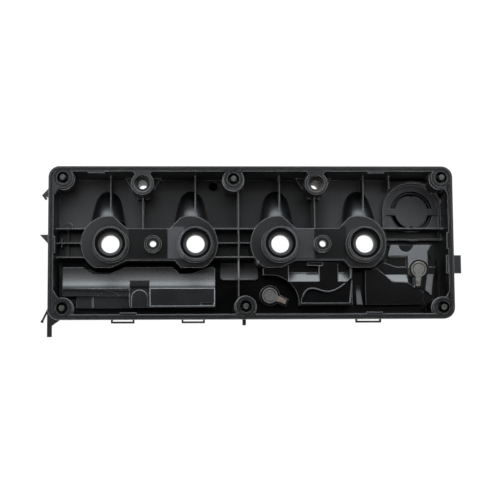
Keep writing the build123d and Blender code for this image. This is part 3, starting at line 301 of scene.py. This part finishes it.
shellAreas = [
    # painted light on both upper ends of the roof
    {**paintedLightRoof, "low": (-0.210, 0.022), "high": (-0.116, 0.090)},
    {**paintedLightRoof, "low": (0.080, 0.022), "high": (0.210, 0.090)},
    # painted shade on the roof round the plates, and on the strip under the wells
    {
        **paintedShade,
        "low": (-0.198, -0.0615),
        "high": (0.198, -0.0150),
        "soft": 0.002,
        "rougher": -0.12,
        "dull": 0.35,
    },
    {**paintedShade, "low": (-0.198, -0.0150), "high": (0.198, -0.0060), "ceiling": 0.0300, "dull": 0.8},
    # painted light on the strip between the plates
    {
        "low": (-0.031, -0.0255),
        "high": (0.008, -0.0085),
        "soft": 0.001,
        "rougher": 0.55,
        "colour": (0.085, 0.085, 0.087),
        "dull": -1.0,
    },
    # painted shade in a dark disc at the roof's dimple, and two thin round marks
    {
        "point": (-0.0386, 0.0731),
        "inner": -0.01,
        "outer": 0.0047,
        "rougher": 0.0,
        "colour": (0.0006, 0.0006, 0.0006),
        "dull": 0.9,
    },
    {**mouldMark, "point": (-0.1507, 0.0738)},
    {**mouldMark, "point": (-0.0599, 0.0738)},
    # painted shade on parts of the wells' webs, and on the inner band of the right flange
    {**paintedShadeBand, "low": (-0.1268, -0.0060), "high": (-0.0870, 0.0280)},
    {**paintedShadeBand, "low": (0.0668, -0.0060), "high": (0.0998, 0.0280), "dull": 0.30},
    {**paintedShadeBand, "low": (0.2027, -0.0600), "high": (0.2058, 0.0700), "dull": 0.6},
    # painted light on parts of the wells' webs
    {**paintedLightBand, "low": (-0.0863, -0.0060), "high": (-0.0690, 0.0270)},
    {
        **paintedLightBand,
        "low": (0.0370, -0.0060),
        "high": (0.0660, 0.0270),
        "rougher": 0.04,
        "colour": (0.018, 0.0185, 0.020),
    },
]
for number in range(1, injectorCount + 1):
    low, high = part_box(f"injector_seal_{number}")
    shellAreas.append({**ledge, "point": tuple((low + high) / 2)})

# The shade under the left plate's trough
plateAreas = [
    {
        "low": (-0.199, -0.0362),
        "high": (-0.036, -0.0338),
        "soft": 0.0016,
        "rougher": 0.0,
        "colour": (0.001, 0.001, 0.001),
        "dull": 0.75,
    },
]


def blackPlastic(name, values, areas=()):
    shared = plasticFilm
    finish = Finish(name)
    cloud = finish.noise(shared["cloud"])
    flow = finish.noise(shared["flow"], finish.stretched(shared["flowStretch"]))
    grain = finish.noise(values["grain"])
    streak = finish.noise(shared["streak"], finish.stretched(shared["streakStretch"]))
    mixed = cloud * shared["cloudShare"] + flow * shared["flowShare"] + streak * shared["streakShare"]
    film = mixed.rise(shared["filmFrom"], shared["filmTo"])
    roughness = values["roughLow"] + film * (values["roughHigh"] - values["roughLow"])
    colour = finish.mix(film, values["colour"], values["dust"])
    height = finish.along("Z")
    upward = finish.node("ShaderNodeSeparateXYZ", {}, {0: finish.trueNormal()}, "Z")
    # faces that look straight up are made dull by the flat share: painted shade on the flat tops
    dull = upward.rise(shared["flatFrom"], shared["flatTo"]) * values["flatPaintedShade"]
    for area in areas:
        if "point" in area:
            mask = finish.ring(area["point"], area["inner"], area["outer"], shared["ringSoft"])
        else:
            mask = finish.inside(area["low"], area["high"], area["soft"])
        if "ceiling" in area:
            low, high = area["ceiling"] - shared["ceilingSoft"], area["ceiling"] + shared["ceilingSoft"]
            mask = mask * (1 - height.rise(low, high))
        roughness = roughness + mask * area["rougher"]
        colour = finish.mix(mask, colour, area["colour"])
        if "dull" in area:
            dull = dull + mask * area["dull"]
    rounded = finish.rounded(values["edge"])
    normal = finish.bump(grain, shared["grainStrength"], values["grainDepth"], rounded)
    # the pale colour along the rounded edges is a painted highlight, patchy with the cloud
    edgeHighlight = finish.edges(values["edge"]) * (shared["edgeHighlightLeast"] + shared["edgeHighlightCloud"] * cloud)
    if "edgeHighlightFrom" in values:
        edgeHighlight = edgeHighlight * height.rise(values["edgeHighlightFrom"], values["edgeHighlightTo"])
    colour = finish.mix(edgeHighlight, colour, values["edgeHighlightColour"])
    # a metal of almost no colour mirrors almost nothing, so it paints shade on the dull parts
    return finish.coat(
        colour=colour, roughness=roughness.clamp(), metallic=dull.clamp(), normal=normal, ior=values["bend"]
    )


# The lip colour along each rubber's edges is a painted highlight
sealRubber = {
    "colour": (0.0035, 0.0035, 0.0035),
    "dust": (0.008, 0.008, 0.0083),
    "lip": (0.150, 0.150, 0.152),
    "roughness": 0.5,
    "shine": 0.14,
    "edge": 0.0003,
}

# The injector seals are black rubber made darker still and almost without shine: partly their own black,
# partly painted shade of their deep groove
tubeRubber = {
    "colour": (0.0006, 0.0006, 0.0006),
    "dust": (0.0016, 0.0016, 0.0016),
    "lip": (0.004, 0.004, 0.004),
    "roughness": 0.5,
    "shine": 0.05,
    "edge": 0.0004,
}

# What the rubber finishes share
rubberSkin = {
    "dust": (160, 4, 0.6),
    "dustFrom": 0.48,
    "dustTo": 0.72,
    "dustRougher": 0.15,
    "grain": (2600, 2, 0.5),
    "grainStrength": 0.3,
    "grainDepth": 0.00004,
}


def blackRubber(name, values):
    shared = rubberSkin
    finish = Finish(name)
    dust = finish.noise(shared["dust"]).rise(shared["dustFrom"], shared["dustTo"])
    grain = finish.noise(shared["grain"])
    rounded = finish.rounded(values["edge"])
    normal = finish.bump(grain, shared["grainStrength"], shared["grainDepth"], rounded)
    dusty = finish.mix(dust, values["colour"], values["dust"])
    # the pale lip along the edges is a painted highlight
    colour = finish.mix(finish.edges(values["edge"]), dusty, values["lip"])
    roughness = values["roughness"] + dust * shared["dustRougher"]
    return finish.coat(colour=colour, roughness=roughness, normal=normal, level=values["shine"])


platedSteel = {
    "colour": (0.030, 0.0297, 0.029),
    "dull": (0.016, 0.0157, 0.015),
    "rustAndGlint": (0.085, 0.050, 0.032),
    "roughness": 0.40,
    "edge": 0.0004,
}

limiterSteel = {**platedSteel, "colour": (0.060, 0.060, 0.060)}

boltSteel = {
    "colour": (0.075, 0.074, 0.071),
    "dull": (0.030, 0.029, 0.027),
    "rustAndGlint": (0.030, 0.022, 0.017),
    "roughness": 0.42,
    "edge": 0.0005,
}

springSteel = {
    "colour": (0.26, 0.255, 0.235),
    "dull": (0.15, 0.146, 0.134),
    "rustAndGlint": (0.16, 0.085, 0.050),
    "roughness": 0.30,
    "edge": 0.0003,
}

# How all the steel wears and rusts
steelWear = {
    "wear": (420, 4, 0.6),
    "wearFrom": 0.40,
    "wearTo": 0.70,
    "wearRougher": 0.15,
    "wearHeight": 0.2,
    "pits": (900, 5, 0.7),
    "rustSpread": 0.10,
    "rustAndGlintRougher": 0.3,
    "rustAndGlintMetalLoss": 0.8,
    "spotFrom": 0.44,
    "spotTo": 0.58,
    "spotSoftShare": 0.3,
    "bumpStrength": 0.4,
    "bumpDepth": 0.00008,
}


def steel(name, values, rustFrom, rustAndGlintSpots=()):
    shared = steelWear
    finish = Finish(name)
    wear = finish.noise(shared["wear"]).rise(shared["wearFrom"], shared["wearTo"])
    pits = finish.noise(shared["pits"])
    rustAndGlint = pits.rise(rustFrom, rustFrom + shared["rustSpread"])
    # a spot adds rust on the sleeve, and on the first leaf's tail it is an orange painted reflection
    for point, radius in rustAndGlintSpots:
        spot = finish.near(point, radius, radius * shared["spotSoftShare"])
        rustAndGlint = (rustAndGlint + spot * pits.rise(shared["spotFrom"], shared["spotTo"])).clamp()
    colour = finish.mix(rustAndGlint, finish.mix(wear, values["colour"], values["dull"]), values["rustAndGlint"])
    roughness = values["roughness"] + wear * shared["wearRougher"] + rustAndGlint * shared["rustAndGlintRougher"]
    height = pits * rustAndGlint + wear * shared["wearHeight"]
    normal = finish.bump(height, shared["bumpStrength"], shared["bumpDepth"], finish.rounded(values["edge"]))
    metallic = 1 - rustAndGlint * shared["rustAndGlintMetalLoss"]
    return finish.coat(colour=colour, metallic=metallic, roughness=roughness.clamp(), normal=normal)


# Rust all over the right sleeve; on the tail of the first leaf, an orange painted reflection in the rust
# colour
rustAndGlintSpot = {"sleeveReach": 0.030, "glintInset": 0.004, "glintReach": 0.0052}

sleeveLow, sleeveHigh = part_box("guide_sleeve_2")
sleeveMiddle = (sleeveLow + sleeveHigh) / 2
tailLow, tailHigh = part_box("drain_valve_1")
tailGlintPoint = (tailHigh.x - rustAndGlintSpot["glintInset"], tailLow.y + rustAndGlintSpot["glintInset"], tailHigh.z)

black = blackPlastic("mouldedBlack", mouldedBlack)
shellBlack = blackPlastic("shellBlack", shellMoulding, shellAreas)
baffle = blackPlastic("baffleBlack", baffleBlack)
plate = blackPlastic("weldedPlate", weldedPlate, plateAreas)
paintedShadePlateFinish = blackPlastic("paintedShadePlate", paintedShadePlate)
rubber = blackRubber("sealRubber", sealRubber)
tubeSeal = blackRubber("tubeRubber", tubeRubber)
zinc = steel("zincSteel", platedSteel, rustFrom=0.72)
tipSteel = steel("tipSteel", boltSteel, rustFrom=0.66)
limiter = steel("limiterSteel", limiterSteel, rustFrom=0.70)
sleeveSpots = [(tuple(sleeveMiddle), rustAndGlintSpot["sleeveReach"])]
rustySleeve = steel("rustySleeve", platedSteel, rustFrom=0.50, rustAndGlintSpots=sleeveSpots)
leaf = steel("springLeaf", springSteel, rustFrom=0.80)
rustAndGlintLeaf = steel("rustAndGlintLeaf", springSteel, rustFrom=0.78, rustAndGlintSpots=[(tailGlintPoint, rustAndGlintSpot["glintReach"])])

nodeFinishes = {
    "cover_shell": shellBlack,
    "oil_filler_cap": black,
    "filler_baffle": baffle,
    "left_separator_plate": plate,
    "right_separator_plate": paintedShadePlateFinish,
    "breather_chamber_plate": paintedShadePlateFinish,
    "guide_sleeve_1": zinc,
    "guide_sleeve_2": rustySleeve,
    "drain_valve_1": rustAndGlintLeaf,
    "drain_valve_2": leaf,
    "valve_rivet_1": rustAndGlintLeaf,
    "valve_rivet_2": leaf,
}
# For the other nodes, the first start that fits; the last one fits them all
finishByStart = [
    ("injector_seal", tubeSeal),
    ("captive_bolt", tipSteel),
    ("bolt_sleeve", limiter),
    ("", rubber),
]

for nodeName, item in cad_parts.items():
    chosen = nodeFinishes.get(nodeName)
    if chosen is None:
        chosen = next(finish for start, finish in finishByStart if nodeName.startswith(start))
    for place in item.material_slots:
        place.material = chosen
print("finishes given")


# Thin pale bars along edges, their pale colour a painted highlight: points of each, how thick, and how pale
paintedHighlightBeads = {
    "chamberOutline": {
        "points": [(-0.1047, -0.0367), (-0.0380, -0.0367), (-0.0376, -0.0550), (-0.1047, -0.0550)],
        "height": 0.0352,
        "closed": True,
        "radius": 0.00050,
        "colour": (0.190, 0.192, 0.198),
    },
    "ledgeLine": {
        "points": [(-0.1952, -0.0367), (-0.1620, -0.0367), (-0.1282, -0.0367)],
        "height": 0.0352,
        "closed": False,
        "radius": 0.00050,
        "colour": (0.110, 0.112, 0.116),
    },
    "waveLine": {
        "points": [
            (0.0543, -0.0459), (0.0549, -0.0428), (0.0574, -0.0394), (0.0606, -0.0373), (0.0658, -0.0369),
            (0.0710, -0.0383), (0.0763, -0.0399), (0.0815, -0.0404), (0.0878, -0.0387), (0.0930, -0.0358),
            (0.0983, -0.0317),
        ],
        "height": 0.0358,
        "closed": False,
        "radius": 0.0008,
        "colour": (0.070, 0.071, 0.074),
    },
}

# What the lines share: sides of the bar, its limit at sharp corners, and the noise that makes their painted
# highlight patchy
beadMaking = {
    "sides": 8,
    "cornerLimit": 0.5,
    "dust": (300, 3, 0.6),
    "darkShare": 0.6,
    "roughness": 0.35,
    "dustRougher": 0.1,
}


def makeBead(name, values):
    # a thin round bar along the points, half sunk in the plate
    shared = beadMaking
    sides = shared["sides"]
    points = [Vector((x, y, values["height"])) for x, y in values["points"]]
    count = len(points)
    vertices, faces = [], []
    for index, point in enumerate(points):
        before = points[index - 1] if index or values["closed"] else point
        after = points[(index + 1) % count] if index + 1 < count or values["closed"] else point
        arriving, leaving = (point - before).normalized(), (after - point).normalized()
        middle = (arriving + leaving).normalized()
        wide = 1 / max(shared["cornerLimit"], middle.dot(leaving if leaving.length else arriving))
        across = Vector((-middle.y, middle.x, 0)) * wide
        for side in range(sides):
            turn = math.tau * side / sides
            spoke = math.cos(turn) * across + Vector((0, 0, math.sin(turn)))
            vertices.append(point + values["radius"] * spoke)
    for index in range(count if values["closed"] else count - 1):
        here, there = index * sides, (index + 1) % count * sides
        for side in range(sides):
            following = (side + 1) % sides
            faces.append((here + side, here + following, there + following, there + side))
    if not values["closed"]:
        faces.append(tuple(range(sides))[::-1])
        faces.append(tuple(range((count - 1) * sides, count * sides)))
    mesh = bpy.data.meshes.new(name)
    mesh.from_pydata(vertices, [], faces)
    mesh.shade_smooth()
    bead = bpy.data.objects.new(name, mesh)
    scene.collection.objects.link(bead)
    # the bar's pale colour, darker in patches, is a painted highlight
    finish = Finish(name)
    dust = finish.noise(shared["dust"])
    darker = tuple(shared["darkShare"] * part for part in values["colour"])
    colour = finish.mix(dust, darker, values["colour"])
    roughness = shared["roughness"] + shared["dustRougher"] * dust
    mesh.materials.append(finish.coat(colour=colour, roughness=roughness))
    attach(bead, "cover")


for beadName, values in paintedHighlightBeads.items():
    makeBead(beadName, values)
print("moulded lines made")


studio = {
    "floorColour": (0.86, 0.86, 0.86),
    "floorRoughness": 0.9,
    "floorSize": 8.0,
    "floorGap": 0.0003,
    "backgroundShare": 0.93,
    "backgroundLevel": 1.07,
    "worldLevel": 0.045,
}

# Two long lamps behind light the slopes, the three top ones are mirrored in the flat parts
lamps = {
    "key": {
        "power": 22.0,
        "size": (2.4, 0.361),
        "place": (0.0, 0.6954, 0.6834),
        "aim": (0.0, 0.0, 0.0),
        "colour": (0.89, 0.96, 1.0),
    },
    "shoulder": {
        "power": 4.6,
        "size": (2.4, 0.250),
        "place": (0.0, 0.444, 0.868),
        "aim": (0.0, 0.0, 0.0),
        "colour": (0.92, 0.96, 1.0),
    },
    "front": {
        "power": 12.0,
        "size": (1.8, 0.34),
        "place": (0.0, -0.80, 0.42),
        "aim": (0.0, 0.0, 0.0),
        "colour": (1.0, 1.0, 1.0),
    },
    "right": {
        "power": 3.0,
        "size": (0.6, 0.4),
        "place": (0.85, 0.0, 0.50),
        "aim": (0.0, 0.0, 0.0),
        "colour": (1.0, 1.0, 1.0),
    },
    "top": {
        "power": 0.10,
        "size": (0.50, 0.30),
        "place": (0.05, 0.300, 1.2),
        "aim": (0.05, 0.300, 0.0),
        "colour": (0.96, 0.97, 1.0),
    },
    "topLeft": {
        "power": 1.25,
        "size": (0.80, 0.36),
        "place": (-0.60, 0.270, 1.2),
        "aim": (-0.60, 0.270, 0.0),
        "colour": (0.96, 0.97, 1.0),
    },
    "topRight": {
        "power": 1.00,
        "size": (0.70, 0.36),
        "place": (0.65, 0.270, 1.2),
        "aim": (0.65, 0.270, 0.0),
        "colour": (0.96, 0.97, 1.0),
    },
    "fill": {
        "power": 5.0,
        "size": (0.9, 0.6),
        "place": (-0.85, -0.10, 0.50),
        "aim": (0.0, 0.0, 0.0),
        "colour": (1.0, 1.0, 1.0),
    },
}


def pureRays(finish):
    # 1 for what the camera, a mirror or glass sees directly
    names = ("Is Camera Ray", "Is Glossy Ray", "Is Transmission Ray")
    camera, glossy, clear = (finish.node("ShaderNodeLightPath", {}, {}, name) for name in names)
    return (camera + glossy + clear).clamp()


def makeFloor(values):
    half = values["floorSize"] / 2
    corners = [(-half, -half, 0), (half, -half, 0), (half, half, 0), (-half, half, 0)]
    mesh = bpy.data.meshes.new("studioFloor")
    mesh.from_pydata(corners, [], [(0, 1, 2, 3)])
    floor = bpy.data.objects.new("studioFloor", mesh)
    scene.collection.objects.link(floor)
    finish = Finish("studioFloor")
    finish.coat(colour=values["floorColour"], roughness=values["floorRoughness"])
    matt = Wire(finish, finish.surface.outputs[0])
    lit = {"Color": (1.0, 1.0, 1.0), "Strength": values["backgroundLevel"]}
    glow = finish.node("ShaderNodeEmission", {}, lit)
    share = pureRays(finish) * values["backgroundShare"]
    both = finish.node("ShaderNodeMixShader", {}, {0: share, 1: matt, 2: glow})
    # the floor is clear from below, so that the outside of the cover can be looked at
    under = finish.node("ShaderNodeNewGeometry", {}, {}, "Backfacing")
    clear = finish.node("ShaderNodeBsdfTransparent", {}, {})
    shown = finish.node("ShaderNodeMixShader", {}, {0: under, 1: both, 2: clear})
    finish.put(finish.tree.nodes["Material Output"].inputs["Surface"], shown)
    mesh.materials.append(finish.material)
    floor.location.z = -values["floorGap"]


def makeWorld(values):
    # dim white for the light, plain white for the camera
    world = bpy.data.worlds.new("studioWorld")
    world.use_nodes = True
    scene.world = world
    maker = NodeMaker(world.node_tree)
    background = world.node_tree.nodes["Background"]
    maker.put(background.inputs["Color"], (1.0, 1.0, 1.0))
    maker.put(background.inputs["Strength"], values["worldLevel"])
    dim = Wire(maker, background.outputs[0])
    white = maker.node("ShaderNodeBackground", {}, {"Color": (1.0, 1.0, 1.0), "Strength": 1.0})
    seen = maker.node("ShaderNodeLightPath", {}, {}, "Is Camera Ray")
    both = maker.node("ShaderNodeMixShader", {}, {0: seen, 1: dim, 2: white})
    maker.put(world.node_tree.nodes["World Output"].inputs["Surface"], both)


def makeLamp(name, values):
    data = bpy.data.lights.new(name + "Lamp", "AREA")
    data.shape = "RECTANGLE"
    data.size, data.size_y = values["size"]
    data.energy = values["power"]
    data.color = values["colour"]
    lamp = bpy.data.objects.new(name + "Lamp", data)
    scene.collection.objects.link(lamp)
    lamp.location = values["place"]
    aim = Vector(values["aim"]) - lamp.location
    lamp.rotation_euler = aim.to_track_quat("-Z", "Y").to_euler()


makeFloor(studio)
makeWorld(studio)
for lampName, values in lamps.items():
    makeLamp(lampName, values)
print("studio made")
